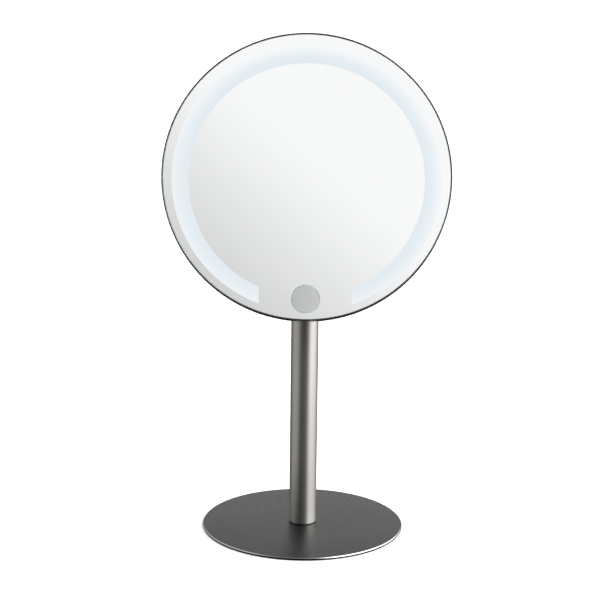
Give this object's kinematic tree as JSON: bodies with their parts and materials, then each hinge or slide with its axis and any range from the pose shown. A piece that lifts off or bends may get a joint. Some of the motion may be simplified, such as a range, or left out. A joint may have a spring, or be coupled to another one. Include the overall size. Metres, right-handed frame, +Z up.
{
  "type": "lighted table mirror",
  "caption": "Round table mirror with a lit frosted band and a press button, on a tilting and swivelling joint above a steel post and flat disc base.",
  "frame": {"origin": "centre of the base's underside, on the surface it stands on", "axes": "+Z up along the post, the mirror faces -Y, +X to the right seen from the front"},
  "size_m": [0.2044, 0.148, 0.3669],
  "materials": {
    "brushed_post": "vertical satin brushing, warm grey",
    "satin_base": "fine satin, dark grey, bright chamfer",
    "dark_rim": "polished dark edge band",
    "zinc_steel": "plain machined steel",
    "brass": "machined",
    "mirror": "silvered float glass with a frosted light band",
    "rubber": "matt non-slip rubber",
    "foam": "adhesive-backed foam",
    "nylon": "natural nylon",
    "acrylic": "clear acrylic light guide, faintly blue-white when lit",
    "white_plastic": "white moulded plastic",
    "grey_plastic": "light grey satin moulded plastic",
    "charcoal_plastic": "fine-textured charcoal moulded plastic",
    "board_green": "solder mask",
    "chip_black": "moulded epoxy",
    "battery_wrap": "shrink wrap",
    "lead_red": "wire insulation",
    "lead_black": "wire insulation"
  },
  "bodies": {
    "stand": {"base_plate": "satin_base", "base_pad": "rubber", "base_screw": "zinc_steel", "base_locating_pin": "zinc_steel", "post_tube": "brushed_post", "post_foot_plug": "zinc_steel", "post_top_bush": "brass"},
    "yoke": {"swivel_yoke": "zinc_steel", "swivel_washer": "nylon", "swivel_spring_washer": "zinc_steel", "swivel_clip": "zinc_steel", "tilt_pin": "zinc_steel", "tilt_spring_washer": "zinc_steel", "tilt_nut": "zinc_steel", "friction_washer_left": "nylon", "friction_washer_right": "nylon"},
    "head": {"rim_ring": "dark_rim", "mirror_glass": "mirror", "glass_tape": "foam", "glass_pad": "foam", "light_guide": "acrylic", "reflector_sheet": "white_plastic", "led_strip": "white_plastic", "chassis": "white_plastic", "rear_cover": "charcoal_plastic", "tilt_bracket": "zinc_steel", "bracket_plate": "zinc_steel", "control_board": "board_green", "control_chip": "chip_black", "driver_inductor": "chip_black", "charging_socket": "zinc_steel", "battery_connector": "nylon", "led_connector": "nylon", "battery": "battery_wrap", "battery_pad": "foam", "battery_lead_red": "lead_red", "battery_lead_black": "lead_black", "led_lead_red": "lead_red", "led_lead_black": "lead_black", "switch_lead_1": "lead_black", "switch_lead_2": "lead_black", "switch_board": "board_green", "tact_switch": "chip_black", "bracket_screw_1": "zinc_steel", "bracket_screw_2": "zinc_steel", "bracket_screw_3": "zinc_steel", "cover_screw_1": "zinc_steel", "cover_screw_2": "zinc_steel", "cover_screw_3": "zinc_steel", "cover_screw_4": "zinc_steel", "board_screw_1": "zinc_steel", "board_screw_2": "zinc_steel"},
    "button": {"button_cap": "grey_plastic", "switch_plunger": "chip_black"}
  },
  "joints": [
    {"name": "swivel", "type": "hinge", "parent": "stand", "child": "yoke", "pos_m": [0, 0.0032, 0.23459], "axis": [0, 0, 1], "continuous": true},
    {"name": "tilt", "type": "hinge", "parent": "yoke", "child": "head", "pos_m": [0, 0.0032, 0.25859], "axis": [1, 0, 0], "range_deg": [-19.5, 26]},
    {"name": "button_press", "type": "slide", "parent": "head", "child": "button", "axis": [0, 0.9367, -0.3502], "range_m": [0, 0.0008], "stiffness_N_per_m": 1500, "springref_m": -0.0005}
  ]
}
